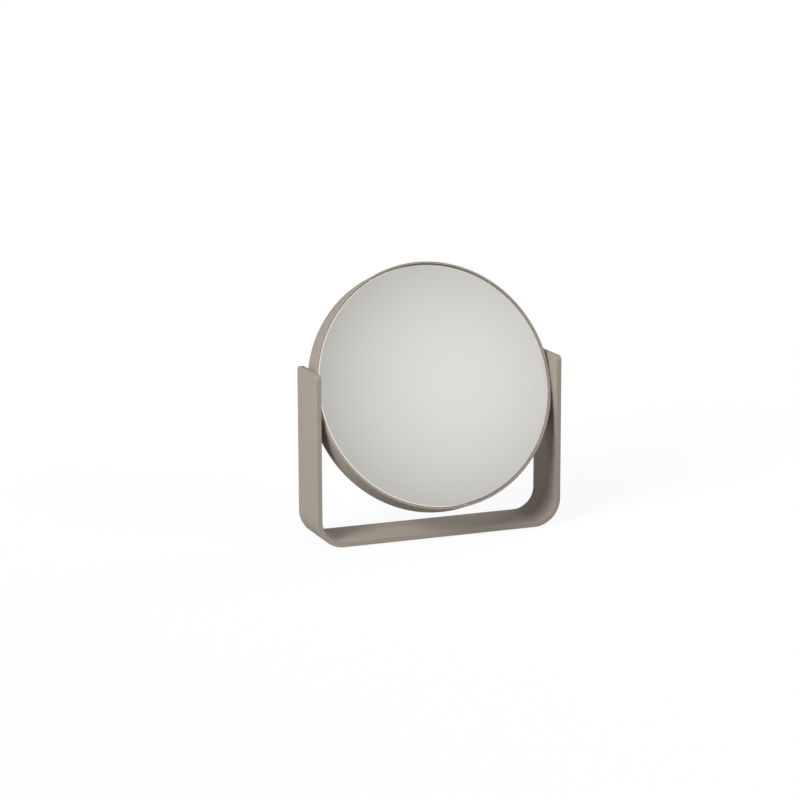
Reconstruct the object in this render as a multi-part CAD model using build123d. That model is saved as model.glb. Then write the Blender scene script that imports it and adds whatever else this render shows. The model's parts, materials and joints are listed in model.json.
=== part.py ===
from build123d import *
import os
from math import hypot, sqrt

# Tilting two-sided table mirror on a stand bent from one flat bar.
# Millimetres. +X to the right, -Y to the front, +Z up.
# The origin is the middle of the resting face, on the surface that the mirror stands on.

# ---- driving sizes: stand ----
stand_width = 190.0          # over the outer faces of the two posts
bar_width = 40.4             # width of the flat bar, which is the depth of the stand
bar_thickness = 4.0
bend_radius = 20.4           # outer radius of the two bends
post_above_pivot = 19.4      # height of a post above the pivot line
post_corner_radius = 3.6     # rounding of the top corners of a post, seen from the side
bar_edge_radius = 0.5        # soft edge all along the bar
pad_thickness = 0.8
pad_side_inset = 4.0         # from the long edges of the bar to the pad
pad_end_inset = 5.0          # from where the bends start to the ends of the pad
pad_corner_radius = 6.0

# ---- driving sizes: mirror head ----
rest_tilt = 19.7             # degrees that the top of the mirror leans back at rest
hoop_gap = 0.5               # between the hoop and the inner face of each post
swing_gap = 12.5             # least gap between the turning hoop and the base
hoop_wall = 1.5
hoop_outer_edge_radius = 0.5
hoop_inner_edge_radius = 0.2
glass_recess = 0.5           # from the rim of the hoop back to the face of a mirror
glass_side_gap = 0.2         # all round between a mirror and the hoop
plain_glass_thickness = 3.0
bevel_width = 0.8            # polished bevel round the face of the plain mirror
bevel_depth = 0.33
magnifier_thickness = 2.0
magnifier_face_radius = 620.0  # radius of the hollow face of the magnifying mirror
glass_arris = 0.3            # ground-off sharp edges of the mirrors
tape_thickness = 0.5         # foam tape and pad behind the plain mirror
tape_width = 10.0
tape_edge_inset = 2.5        # from the edge of the plain mirror to its tape
centre_pad_radius = 20.0
dish_tape_thickness = 0.8    # foam tape behind the magnifying mirror
dish_tape_width = 3.3
dish_tape_inset = 0.6        # from the edge of the magnifying mirror to its tape

# ---- driving sizes: core ----
core_plate = 1.5
core_side_gap = 0.3          # between the core and the hoop
core_wall = 4.0              # outer wall of the core
rib_thickness = 2.0
rib_count = 12
rib_ring_radii = (22.0, 54.0)  # middle radii of the round ribs
rib_to_dish_gap = 1.0

# ---- driving sizes: pivots ----
shoulder_radius = 2.5
thread_radius = 2.0
thread_gap = 0.05            # between the thread and its tapped hole
blind_wall = 0.8             # metal left outside the tapped hole
thread_end_gap = 0.2
running_gap = 0.05           # between a shoulder and its bush, and between the faces that rub
bush_wall = 1.0
bush_flange = 0.8
bush_flange_rim = 0.8        # how far the flange stands out past the sleeve
bush_seat_gap = 0.05         # between the bush and the holes that it is pressed into
bush_end_inset = 0.1         # from the outside of the hoop to the end of the bush
block_wall = 1.2             # block left above the bush
block_below_pivot = 6.0
block_width = 20.0
block_depth = 6.0            # from the inside of the hoop to the flat back of the block
block_seat_gap = 0.05
spacer_thickness = 0.3
spacer_radius = 6.0
washer_thickness = 0.5
spring_sheet = 0.3
spring_height = 0.8
head_height = 2.2
head_socket = 2.5            # hexagon socket, across flats
head_socket_depth = 1.4
core_pocket_gap = 0.8        # between the core and the pivot hardware

# ---- driving sizes: core screws ----
core_screw_radius = 1.25
core_screw_length = 6.0
core_screw_head_radius = 2.3
core_screw_head_height = 1.2
core_screw_spacing = 13.0    # between the two screws of one block
core_screw_inset = 2.6       # from the flat back of the block
core_screw_gap = 0.05
core_screw_socket = 1.5
core_screw_socket_depth = 0.9

# ---- worked out: stand ----
half_width = stand_width / 2
half_bar = bar_width / 2
post_face = half_width - bar_thickness          # inner face of a post
base_top = pad_thickness + bar_thickness
bend_start = half_width - bend_radius           # where the flat base ends

# ---- worked out: mirror head, along its own axis from its middle plane ----
hoop_radius = post_face - hoop_gap
hoop_bore = hoop_radius - hoop_wall
bush_bore = shoulder_radius + running_gap
bush_radius = bush_bore + bush_wall
flange_radius = bush_radius + bush_flange_rim
block_top = bush_radius + block_wall
plate_top = block_top + core_plate
plain_back = plate_top + tape_thickness
plain_face = plain_back + plain_glass_thickness
hoop_half_depth = plain_face + glass_recess
glass_radius = hoop_bore - glass_side_gap

# ---- worked out: where the head hangs ----
swing_radius = hypot(hoop_radius, hoop_half_depth)
pivot_height = base_top + swing_gap + swing_radius
post_top = pivot_height + post_above_pivot

# ---- worked out: the magnifying mirror, a hollow dish centred behind the hoop ----
dish_edge = -(hoop_half_depth - glass_recess)
dish_centre = dish_edge - sqrt(magnifier_face_radius ** 2 - glass_radius ** 2)
dish_back_radius = magnifier_face_radius + magnifier_thickness
dish_tape_radius = dish_back_radius + dish_tape_thickness

# ---- worked out: pivot stack, from the post inwards ----
block_back = hoop_bore - block_depth
flange_back = block_back - bush_flange
washer_back = flange_back - washer_thickness
head_face = washer_back - running_gap - spring_height
head_back = head_face - head_height
thread_length = bar_thickness - blind_wall - thread_end_gap

hang = Pos(0, 0, pivot_height) * Rot(90 - rest_tilt, 0, 0)


def bored_disc(radius, bore, low, high):
    """A round plate with a hole, between two heights along Z."""
    height = high - low
    disc = Cylinder(radius, height, align=(Align.CENTER, Align.CENTER, Align.MIN))
    if bore > 0:
        disc -= Cylinder(bore, height, align=(Align.CENTER, Align.CENTER, Align.MIN))
    return Pos(0, 0, low) * disc


def ball(radius):
    """The sphere round the dish's centre that gives one of its surfaces."""
    return Pos(0, 0, dish_centre) * Sphere(radius)


def lathe(points):
    """Turn an outline of (radius, height) points round the Z axis."""
    outline = Polyline(*[(r, 0, z) for r, z in points], close=True)
    return revolve(make_face(outline), Axis.Z)


def to_side(piece, side):
    """Lay a piece that was turned round Z along X, with its top towards one post."""
    return Rot(0, 90 * side, 0) * piece


# ---- the stand ----
def make_stand_band():
    """The flat bar, bent up at both ends, with a blind tapped hole in each post."""
    outer = make_face(Polyline(
        (-half_width, pad_thickness), (half_width, pad_thickness),
        (half_width, post_top), (-half_width, post_top), close=True))
    inner = make_face(Polyline(
        (-post_face, base_top), (post_face, base_top),
        (post_face, post_top), (-post_face, post_top), close=True))
    outer = fillet(outer.vertices().sort_by(Axis.Y)[:2], bend_radius)
    inner = fillet(inner.vertices().sort_by(Axis.Y)[:2], bend_radius - bar_thickness)
    profile = Plane.XZ * (outer - inner)
    band = extrude(profile, half_bar, both=True)
    corners = band.edges().filter_by(Axis.X).filter_by_position(Axis.Z, post_top, post_top)
    band = fillet(corners, post_corner_radius)
    band = fillet(band.edges(), bar_edge_radius)
    hole = Cylinder(thread_radius, thread_length + thread_end_gap,
                    align=(Align.CENTER, Align.CENTER, Align.MIN))
    for side in (-1, 1):
        band -= Pos(side * post_face, 0, pivot_height) * to_side(hole, side)
    return band


def make_base_pad():
    """Anti-slip pad on the flat part of the base."""
    length = 2 * (bend_start - pad_end_inset)
    width = bar_width - 2 * pad_side_inset
    return extrude(RectangleRounded(length, width, pad_corner_radius), pad_thickness)


# ---- the pivots, laid out round Z with Z as the distance from the middle of the mirror ----
def make_pivot_screw():
    """Shoulder screw: thread in the post, shoulder in the bush, head inside the hoop."""
    screw = lathe([
        (0, head_back), (flange_radius, head_back), (flange_radius, head_face),
        (shoulder_radius, head_face), (shoulder_radius, post_face),
        (thread_radius - thread_gap, post_face),
        (thread_radius - thread_gap, post_face + thread_length), (0, post_face + thread_length)])
    socket = extrude(RegularPolygon(head_socket / 2, 6, major_radius=False), head_socket_depth)
    return screw - Pos(0, 0, head_back) * socket


def make_spacer_washer():
    """Thin washer against the post, clear of the hoop."""
    return bored_disc(spacer_radius, bush_bore, post_face - spacer_thickness, post_face)


def make_disc_spring():
    """Conical washer, pressed between the screw head and the thrust washer."""
    low = head_face
    high = head_face + spring_height
    return lathe([
        (bush_bore, high - spring_sheet), (flange_radius, low),
        (flange_radius, low + spring_sheet), (bush_bore, high)])


def make_thrust_washer():
    """Flat washer between the disc spring and the bush."""
    return bored_disc(flange_radius, bush_bore, washer_back, flange_back)


def make_pivot_bush():
    """Flanged bush through the block and the wall of the hoop."""
    sleeve = bored_disc(bush_radius, bush_bore, block_back, hoop_radius - bush_end_inset)
    return sleeve + bored_disc(flange_radius, bush_bore, flange_back, block_back)


# ---- the mirror head, laid out round Z with the plain mirror on top ----
def pivot_hole(side):
    """The hole for the bush, along X to one side."""
    hole = bored_disc(bush_radius + bush_seat_gap, 0, block_back - core_pocket_gap,
                      hoop_radius + hoop_gap)
    return to_side(hole, side)


def make_mirror_hoop():
    """Flat strip rolled into a hoop, with a hole for each pivot."""
    hoop = bored_disc(hoop_radius, hoop_bore, -hoop_half_depth, hoop_half_depth)
    rims = hoop.edges().filter_by(GeomType.CIRCLE)
    outer_rims = rims.filter_by(lambda e: e.radius > hoop_bore + hoop_wall / 2)
    hoop = fillet(outer_rims, hoop_outer_edge_radius)
    rims = hoop.edges().filter_by(GeomType.CIRCLE)
    inner_rims = rims.filter_by(lambda e: e.radius < hoop_bore + hoop_wall / 4)
    hoop = fillet(inner_rims, hoop_inner_edge_radius)
    for side in (-1, 1):
        hoop -= pivot_hole(side)
    return hoop


def make_plain_mirror():
    """Flat mirror with a polished bevel round its face."""
    return lathe([
        (0, plain_back), (glass_radius - glass_arris, plain_back),
        (glass_radius, plain_back + glass_arris), (glass_radius, plain_face - bevel_depth),
        (glass_radius - bevel_width, plain_face), (0, plain_face)])


def make_plain_tape():
    """Foam tape ring between the core and the plain mirror."""
    outer = glass_radius - tape_edge_inset
    return bored_disc(outer, outer - tape_width, plate_top, plain_back)


def make_centre_pad():
    """Foam pad between the core and the middle of the plain mirror."""
    return bored_disc(centre_pad_radius, 0, plate_top, plain_back)


def make_magnifying_mirror():
    """Hollow mirror: the shell between two spheres, cut to the size of the hoop."""
    blank = bored_disc(glass_radius, 0, dish_edge, 0)
    dish = blank & ball(dish_back_radius)
    dish -= ball(magnifier_face_radius)
    rim = dish.edges().filter_by(GeomType.CIRCLE)
    return chamfer(rim.filter_by(lambda e: e.radius > glass_radius - glass_arris), glass_arris)


def make_dish_tape():
    """Foam tape ring behind the rim of the magnifying mirror."""
    outer = glass_radius - dish_tape_inset
    ring = bored_disc(outer, outer - dish_tape_width, dish_edge, 0)
    return (ring & ball(dish_tape_radius)) - ball(dish_back_radius)


def core_pockets():
    """Room in the core for the two pivots, open to the back so that the core drops in."""
    depth = hoop_bore - head_back + core_pocket_gap
    width = block_width + 2 * core_pocket_gap
    pocket = Box(depth, width, block_top + hoop_half_depth,
                 align=(Align.MAX, Align.CENTER, Align.MAX))
    return [Pos(0, 0, block_top) * Rot(0, 0, turn) * Pos(hoop_bore, 0, 0) * pocket
            for turn in (0, 180)]


def core_screw_places():
    """Middles of the four core screws, on the front of the core."""
    reach = block_back + core_screw_inset
    return [(side * reach, end * core_screw_spacing / 2) for side in (-1, 1) for end in (-1, 1)]


def screw_outline(gap):
    """Outline of a countersunk screw with its head flush with the core's front."""
    shank = core_screw_radius + gap
    head_bottom = plate_top - core_screw_head_height
    tip = plate_top - core_screw_length - gap
    return [(0, plate_top), (core_screw_head_radius + gap, plate_top), (shank, head_bottom),
            (shank, tip), (0, tip)]


def make_hoop_core():
    """Moulded disc with a wall and ribs, which carries a mirror on each side."""
    outer = hoop_bore - core_side_gap
    core = bored_disc(outer, outer - core_wall, dish_edge, plate_top)
    ribs = [bored_disc(r + rib_thickness / 2, r - rib_thickness / 2, dish_edge, plate_top)
            for r in rib_ring_radii]
    hub = min(rib_ring_radii)
    spoke_length = outer - core_wall / 2 - hub
    spoke = Pos(hub, 0, dish_edge) * Box(spoke_length, rib_thickness, plate_top - dish_edge,
                                         align=(Align.MIN, Align.CENTER, Align.MIN))
    for i in range(rib_count):
        ribs.append(Rot(0, 0, 360 * (i + 0.5) / rib_count) * spoke)
    for rib in ribs:
        core += rib - ball(dish_tape_radius + rib_to_dish_gap)
    core += bored_disc(outer, 0, block_top, plate_top)
    core -= ball(dish_tape_radius)
    for pocket in core_pockets():
        core -= pocket
    for x, y in core_screw_places():
        core -= Pos(x, y, 0) * lathe(screw_outline(core_screw_gap))
    return core


def make_pivot_block(side):
    """Block that fits the inside of the hoop and holds a bush and two core screws."""
    height = block_top + block_below_pivot
    blank = Box(hoop_bore - block_back, block_width, height,
                align=(Align.MIN, Align.CENTER, Align.MIN))
    block = Pos(block_back, 0, -block_below_pivot) * blank
    block &= bored_disc(hoop_bore - block_seat_gap, 0, -block_below_pivot, block_top)
    if side < 0:
        block = Rot(0, 0, 180) * block
    block -= pivot_hole(side)
    for x, y in core_screw_places():
        block -= Pos(x, y, 0) * lathe(screw_outline(core_screw_gap))
    return block


def make_core_screws():
    """Four countersunk screws with hexagon sockets."""
    screw = lathe(screw_outline(0))
    socket = extrude(RegularPolygon(core_screw_socket / 2, 6, major_radius=False),
                     -core_screw_socket_depth)
    screw -= Pos(0, 0, plate_top) * socket
    return Compound([Pos(x, y, 0) * screw for x, y in core_screw_places()])


nodes = {
    "stand_band": make_stand_band(),
    "base_pad": make_base_pad(),
    "mirror_hoop": hang * make_mirror_hoop(),
    "plain_mirror_glass": hang * make_plain_mirror(),
    "plain_mirror_tape": hang * make_plain_tape(),
    "plain_mirror_pad": hang * make_centre_pad(),
    "hoop_core": hang * make_hoop_core(),
    "core_screws": hang * make_core_screws(),
    "magnifying_mirror_tape": hang * make_dish_tape(),
    "magnifying_mirror_glass": hang * make_magnifying_mirror(),
}
level = Pos(0, 0, pivot_height)
for name, side in (("left", -1), ("right", 1)):
    nodes["pivot_screw_" + name] = level * to_side(make_pivot_screw(), side)
    nodes["spacer_washer_" + name] = level * to_side(make_spacer_washer(), side)
    nodes["disc_spring_" + name] = level * to_side(make_disc_spring(), side)
    nodes["thrust_washer_" + name] = hang * to_side(make_thrust_washer(), side)
    nodes["pivot_bush_" + name] = hang * to_side(make_pivot_bush(), side)
    nodes["pivot_block_" + name] = hang * make_pivot_block(side)

os.makedirs("parts", exist_ok=True)
for node, shape in nodes.items():
    export_step(shape, "parts/" + node + ".step")
print("pivot height", round(pivot_height, 2), "hoop radius", round(hoop_radius, 2),
      "hoop depth", round(2 * hoop_half_depth, 2), "post top", round(post_top, 2))
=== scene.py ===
"""A round two-sided table mirror that tilts between the posts of a stand bent from one flat bar.

The file is laid out as an add-on: settings, an operator for each piece or group of like
pieces and one for the studio, and a panel that lists them. Metres, +Z up, -Y to the front.
"""
import json
import math

import bmesh
import bpy
from bpy.props import FloatProperty, FloatVectorProperty, PointerProperty
from mathutils import Matrix, Vector


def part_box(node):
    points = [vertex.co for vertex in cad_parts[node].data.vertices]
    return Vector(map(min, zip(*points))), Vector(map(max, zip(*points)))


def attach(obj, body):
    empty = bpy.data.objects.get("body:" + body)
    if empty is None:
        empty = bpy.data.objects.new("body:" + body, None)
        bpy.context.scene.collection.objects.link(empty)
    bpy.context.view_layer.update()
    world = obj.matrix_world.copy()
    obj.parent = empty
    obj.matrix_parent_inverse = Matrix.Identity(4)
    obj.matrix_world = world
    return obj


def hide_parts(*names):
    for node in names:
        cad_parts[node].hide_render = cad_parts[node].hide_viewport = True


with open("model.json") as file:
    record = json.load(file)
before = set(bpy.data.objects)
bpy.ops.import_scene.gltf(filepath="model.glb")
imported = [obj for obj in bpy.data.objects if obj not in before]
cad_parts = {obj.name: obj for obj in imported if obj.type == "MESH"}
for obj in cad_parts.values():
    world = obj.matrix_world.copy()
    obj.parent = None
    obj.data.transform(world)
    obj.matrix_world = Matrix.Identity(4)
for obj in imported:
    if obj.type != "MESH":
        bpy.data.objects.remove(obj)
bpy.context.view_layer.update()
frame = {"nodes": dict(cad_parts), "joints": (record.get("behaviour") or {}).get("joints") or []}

bl_info = {
    "name": "Tilting Table Mirror",
    "version": (1, 0, 0),
    "blender": (4, 5, 0),
    "location": "View3D > Sidebar > Table Mirror",
    "description": "Builds a two-sided table mirror and its studio around a CAD frame",
    "category": "Add Mesh",
}

# ---- places and sizes that the frame gives ----
stand_low, stand_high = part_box("stand_band")
pad_low, pad_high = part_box("base_pad")
post_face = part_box("spacer_washer_right")[1].x      # inner face of a post, from the middle
screw_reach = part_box("pivot_screw_right")[1].x      # end of the thread in the post
pivot = Vector(frame["joints"][0]["pos_m"])

# ---- the mirror head has its own axis: +Z out of the flat mirror, +Y up its face ----
rest_lean = math.radians(19.7)                      # the top leans back at rest
hang = Matrix.Translation(pivot) @ Matrix.Rotation(math.pi / 2 - rest_lean, 4, "X")

# ---- fineness of the meshes ----
round_steps = 240         # round the hoop and the mirrors
small_round_steps = 32    # round the screws and the drilled holes
bend_steps = 20           # in each bend of the bar
edge_steps = 4            # across a rounded edge
dish_steps = 28           # from the middle to the rim of the hollow mirror
drill_start = 0.001       # how far outside a wall the drill for a hole begins
smooth_angle = math.radians(32)         # a sharper edge than this shows as an edge
bevel_line_angle = math.radians(15)     # and on the flat mirror, whose bevel falls gently


def turned_size(node):
    """Outer radius, inner radius, lowest and highest level of a node about the head's own axis."""
    to_head = hang.inverted()
    points = [to_head @ v.co for v in frame["nodes"][node].data.vertices]
    radii = [p.xy.length for p in points]
    levels = [p.z for p in points]
    return max(radii), min(radii), min(levels), max(levels)


# =====================================================================================
# Settings
# =====================================================================================
def size(name, description, default):
    """A length that a user may change."""
    return FloatProperty(name=name, description=description, default=default, min=0.0,
                         precision=4, unit="LENGTH")


def colour(name, description, default):
    """A colour that a user may change."""
    return FloatVectorProperty(name=name, description=description, default=default, size=3,
                               min=0.0, max=1.0, subtype="COLOR")


def power(name, description, default):
    """The power of a lamp, which a user may change."""
    return FloatProperty(name=name, description=description, default=default, min=0.0,
                         unit="POWER")


class StandSettings(bpy.types.PropertyGroup):
    """Sizes and colours of the stand."""

    width: size("Width", "Over the outer faces of the posts", stand_high.x - stand_low.x)
    bar_width: size("Bar width", "Width of the flat bar, front to back", stand_high.y - stand_low.y)
    bar_thickness: size("Bar thickness", "Thickness of the flat bar", stand_high.x - post_face)
    bend_radius: size("Bend radius", "Outer radius of the two bends", 0.0204)
    post_corner: size("Post corner", "Rounding of the top corners of a post", 0.0036)
    bar_edge: size("Bar edge", "Soft edge all along the bar", 0.0005)
    hole_radius: size("Hole radius", "Radius of the blind hole for a pivot screw", 0.002)
    pad_corner: size("Pad corner", "Rounding of the corners of the pad", 0.006)
    pad_edge: size("Pad edge", "Soft lower edge of the pad", 0.00025)
    coat_colour: colour("Coat colour", "Soft-touch coat of the bar and the hoop",
                        (0.388, 0.339, 0.286))
    pad_colour: colour("Pad colour", "Rubber pad under the base", (0.100, 0.090, 0.078))


class HeadSettings(bpy.types.PropertyGroup):
    """Sizes and colours of the mirror head."""

    hoop_outer_edge: size("Hoop outer edge", "Rounding of the outer edges of the hoop", 0.0005)
    hoop_inner_edge: size("Hoop inner edge", "Rounding of the inner edges of the hoop", 0.0002)
    bush_hole: size("Bush hole", "Radius of the holes for the pivot bushes", 0.0036)
    bevel_width: size("Bevel width", "Polished bevel round the flat mirror", 0.0008)
    bevel_depth: size("Bevel depth", "How far the bevel falls to the edge", 0.00033)
    glass_arris: size("Glass arris", "Ground-off sharp edge of a mirror", 0.0003)
    hollow_radius: size("Hollow radius", "Radius of the hollow face of the magnifying mirror", 0.62)
    hollow_thickness: size("Hollow thickness", "Thickness of the magnifying mirror", 0.002)
    silver_colour: colour("Silver colour", "What the silvered glass sends back",
                          (0.910, 0.908, 0.895))
    foam_colour: colour("Foam colour", "Foam tapes and pad behind the mirrors",
                        (0.72, 0.71, 0.66))


class StudioSettings(bpy.types.PropertyGroup):
    """Floor, light and camera."""

    floor_colour: colour("Floor colour", "Pale sweep under the mirror", (0.40, 0.40, 0.40))
    key_power: power("Key power", "Power of the lamp at the left", 23.2)
    front_power: power("Front power", "Power of the lamp at the front right", 4.5)
    back_power: power("Back power", "Power of the lamp at the back right", 5.0)
    ambient: FloatProperty(name="Ambient", description="Strength of the light from all round",
                           default=0.19, min=0.0, max=1.0, subtype="FACTOR")
    camera_lens: FloatProperty(name="Camera lens", description="Focal length of the camera",
                               default=119.42, min=1.0, unit="CAMERA")


# =====================================================================================
# Building nodes
# =====================================================================================
def put(tree, kind, inputs=None, **settings):
    """Add a node. Each input is given its value, or the output that feeds it."""
    node = tree.nodes.new(kind)
    for name, value in settings.items():
        setattr(node, name, value)
    for name, value in (inputs or {}).items():
        if isinstance(value, bpy.types.NodeSocket):
            tree.links.new(value, node.inputs[name])
        else:
            node.inputs[name].default_value = value
    return node


def maths(tree, operation, a, b=0.0, c=0.0):
    """A number worked out from up to three numbers, for a shader or a shape."""
    return put(tree, "ShaderNodeMath", {0: a, 1: b, 2: c}, operation=operation).outputs[0]


def mixed_colour(tree, factor, a, b):
    """The colour a, turning into b as the factor goes to one."""
    node = put(tree, "ShaderNodeMix", data_type="RGBA")
    for index, value in ((0, factor), (6, a), (7, b)):
        if isinstance(value, bpy.types.NodeSocket):
            tree.links.new(value, node.inputs[index])
        else:
            node.inputs[index].default_value = value if index == 0 else (*value, 1.0)
    return node.outputs[2]


def spread(tree, value, low, high):
    """Turn a value between zero and one into one between two limits."""
    return maths(tree, "MULTIPLY_ADD", value, high - low, low)


def shaded_colour(tree, base, factor):
    """A colour made darker or lighter by a number."""
    return put(tree, "ShaderNodeVectorMath", {0: base, "Scale": factor},
               operation="SCALE").outputs[0]


def new_tree(name, kind, inputs, outputs):
    """An empty node group. Returns it, its inputs by name, and its output node."""
    tree = bpy.data.node_groups.new(name, kind)
    for label, (socket_type, default) in inputs.items():
        socket = tree.interface.new_socket(label, in_out="INPUT", socket_type=socket_type)
        if default is not None:
            socket.default_value = default
    for label, socket_type in outputs.items():
        tree.interface.new_socket(label, in_out="OUTPUT", socket_type=socket_type)
    given = tree.nodes.new("NodeGroupInput").outputs
    return tree, given, tree.nodes.new("NodeGroupOutput")


# =====================================================================================
# Effects that several finishes share
# =====================================================================================
def clouding_group():
    """Broad, faint changes of colour, as a sprayed or moulded surface has."""
    name = "Clouding"
    if name in bpy.data.node_groups:
        return bpy.data.node_groups[name]
    tree, given, result = new_tree(name, "ShaderNodeTree", {
        "Place": ("NodeSocketVector", None),
        "Colour": ("NodeSocketColor", (0.5, 0.5, 0.5, 1.0)),
        "Patch Size": ("NodeSocketFloat", 0.03),
        "Amount": ("NodeSocketFloat", 0.05),
    }, {"Colour": "NodeSocketColor", "Patches": "NodeSocketFloat"})
    scale = maths(tree, "DIVIDE", 1.0, given["Patch Size"])
    noise = put(tree, "ShaderNodeTexNoise", {
        "Vector": given["Place"], "Scale": scale, "Detail": 3.0, "Roughness": 0.55})
    swing = maths(tree, "SUBTRACT", noise.outputs["Fac"], 0.5)
    factor = maths(tree, "MULTIPLY_ADD", swing, given["Amount"], 1.0)
    shaded = shaded_colour(tree, given["Colour"], factor)
    tree.links.new(shaded, result.inputs["Colour"])
    tree.links.new(noise.outputs["Fac"], result.inputs["Patches"])
    return tree


def fine_grain_group():
    """The close grain of a coat, rubber or moulding: small lumps with finer pits between them."""
    name = "Fine Grain"
    if name in bpy.data.node_groups:
        return bpy.data.node_groups[name]
    tree, given, result = new_tree(name, "ShaderNodeTree", {
        "Place": ("NodeSocketVector", None),
        "Grain Size": ("NodeSocketFloat", 0.0006),
        "Lumps": ("NodeSocketFloat", 0.5),
    }, {"Height": "NodeSocketFloat", "Pits": "NodeSocketFloat"})
    scale = maths(tree, "DIVIDE", 1.0, given["Grain Size"])
    pits = put(tree, "ShaderNodeTexNoise", {
        "Vector": given["Place"], "Scale": scale, "Detail": 2.0, "Roughness": 0.6})
    lump_scale = maths(tree, "MULTIPLY", scale, 0.4)
    lumps = put(tree, "ShaderNodeTexVoronoi", {
        "Vector": given["Place"], "Scale": lump_scale, "Smoothness": 1.0}, feature="SMOOTH_F1")
    lump_height = maths(tree, "MULTIPLY", lumps.outputs["Distance"], given["Lumps"])
    height = maths(tree, "SUBTRACT", pits.outputs["Fac"], lump_height)
    tree.links.new(height, result.inputs["Height"])
    tree.links.new(pits.outputs["Fac"], result.inputs["Pits"])
    return tree


def use_group(tree, group, inputs):
    """Place a shared effect in a material."""
    return put(tree, "ShaderNodeGroup", inputs, node_tree=group)


# =====================================================================================
# Finishes
# =====================================================================================
def start_finish(name):
    """A new material. Returns it, its nodes, its shader and the place on the object."""
    material = bpy.data.materials.new(name)
    material.use_nodes = True
    tree = material.node_tree
    shader = next(n for n in tree.nodes if n.type == "BSDF_PRINCIPLED")
    place = tree.nodes.new("ShaderNodeTexCoord").outputs["Object"]
    return material, tree, shader, place


def add_relief(tree, shader, height, depth):
    """Let a height between zero and one bump the surface by a depth in metres."""
    bump = put(tree, "ShaderNodeBump", {"Height": height, "Distance": depth, "Strength": 1.0})
    tree.links.new(bump.outputs["Normal"], shader.inputs["Normal"])


def grained_finish(name, base, patch, amount, grain, lumps, roughness, depth):
    """A dull finish: clouded colour, close grain whose tone is a little darker where the grain
    sinks (partly random tone, partly painted shade), and a roughness that changes with both.
    """
    material, tree, shader, place = start_finish(name)
    clouds = use_group(tree, clouding_group(), {
        "Place": place, "Colour": (*base, 1.0), "Patch Size": patch, "Amount": amount})
    close = use_group(tree, fine_grain_group(), {
        "Place": place, "Grain Size": grain, "Lumps": lumps})
    # grain tone, a little darker where the pits sink the surface: partly random tone, partly
    # painted shade
    painted_pit_shade = spread(tree, close.outputs["Pits"], 0.99, 1.01)
    coloured = shaded_colour(tree, clouds.outputs["Colour"], painted_pit_shade)
    tree.links.new(coloured, shader.inputs["Base Color"])
    uneven = maths(tree, "ADD", clouds.outputs["Patches"], close.outputs["Pits"])
    dullness = spread(tree, uneven, roughness - 0.06, roughness)
    tree.links.new(dullness, shader.inputs["Roughness"])
    add_relief(tree, shader, close.outputs["Height"], depth)
    return material, shader


def coat_finish(base):
    """Soft-touch coat on steel: warm grey-beige, matt, with a very fine orange peel."""
    material, shader = grained_finish(
        "soft_touch_coat", base, patch=0.035, amount=0.05, grain=0.0004, lumps=0.6,
        roughness=0.66, depth=0.000004)
    shader.inputs["Specular IOR Level"].default_value = 0.22
    return material


def silver_finish(base):
    """Silvered glass: a clean mirror with the faintest haze left by a cloth."""
    wipes, slant = (14.0, 60.0, 14.0), 0.6      # smears in a metre along each axis, and their turn
    material, tree, shader, place = start_finish("silvered_glass")
    shader.inputs["Base Color"].default_value = (*base, 1.0)
    shader.inputs["Metallic"].default_value = 1.0
    wiped = put(tree, "ShaderNodeMapping", {
        "Vector": place, "Rotation": (0.0, 0.0, slant), "Scale": wipes})
    haze = put(tree, "ShaderNodeTexNoise", {
        "Vector": wiped.outputs["Vector"], "Scale": 1.0, "Detail": 4.0, "Roughness": 0.65})
    tree.links.new(spread(tree, haze.outputs["Fac"], 0.0, 0.02), shader.inputs["Roughness"])
    return material


def ground_edge_finish():
    """The ground edge of a mirror: frosted, green in its depth."""
    return grained_finish(
        "ground_glass_edge", (0.30, 0.42, 0.37), patch=0.004, amount=0.20, grain=0.0004,
        lumps=0.3, roughness=0.45, depth=0.00002)[0]


def backing_finish():
    """Paint over the silver on the back of a mirror, uneven in its shade."""
    return grained_finish(
        "mirror_backing_paint", (0.17, 0.18, 0.19), patch=0.02, amount=0.25, grain=0.0012,
        lumps=0.4, roughness=0.50, depth=0.00003)[0]


def rubber_finish(base):
    """Silicone rubber of the anti-slip pad."""
    return grained_finish(
        "pad_rubber", base, patch=0.015, amount=0.10, grain=0.0007, lumps=0.8,
        roughness=0.72, depth=0.00005)[0]


def moulded_finish():
    """Dark moulded plastic with a spark-eroded texture."""
    return grained_finish(
        "moulded_plastic", (0.033, 0.034, 0.036), patch=0.02, amount=0.15, grain=0.0005,
        lumps=0.7, roughness=0.52, depth=0.00004)[0]


def nylon_finish():
    """Natural nylon of the bushes and spacers, a little cloudy."""
    material, shader = grained_finish(
        "natural_nylon", (0.74, 0.72, 0.63), patch=0.003, amount=0.12, grain=0.0003,
        lumps=0.3, roughness=0.38, depth=0.00001)
    shader.inputs["Subsurface Weight"].default_value = 0.15
    shader.inputs["Subsurface Scale"].default_value = 0.001
    return material


def foam_finish(base):
    """Closed-cell foam: rounded cells with thin walls between them, the walls sunk and darkened
    with painted shade.
    """
    cells_per_metre = 2800.0
    cell_depth = 0.00015
    material, tree, shader, place = start_finish("closed_cell_foam")
    clouds = use_group(tree, clouding_group(), {
        "Place": place, "Colour": (*base, 1.0), "Patch Size": 0.008, "Amount": 0.12})
    cells = put(tree, "ShaderNodeTexVoronoi", {
        "Vector": place, "Scale": cells_per_metre}, feature="F1")
    # painted shade: lighter in the middle of a cell, darker towards the sunk walls between cells
    painted_groove_shade = spread(tree, cells.outputs["Distance"], 1.05, 0.78)
    coloured = shaded_colour(tree, clouds.outputs["Colour"], painted_groove_shade)
    tree.links.new(coloured, shader.inputs["Base Color"])
    shader.inputs["Roughness"].default_value = 0.9
    add_relief(tree, shader, cells.outputs["Distance"], -cell_depth)
    return material


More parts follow.
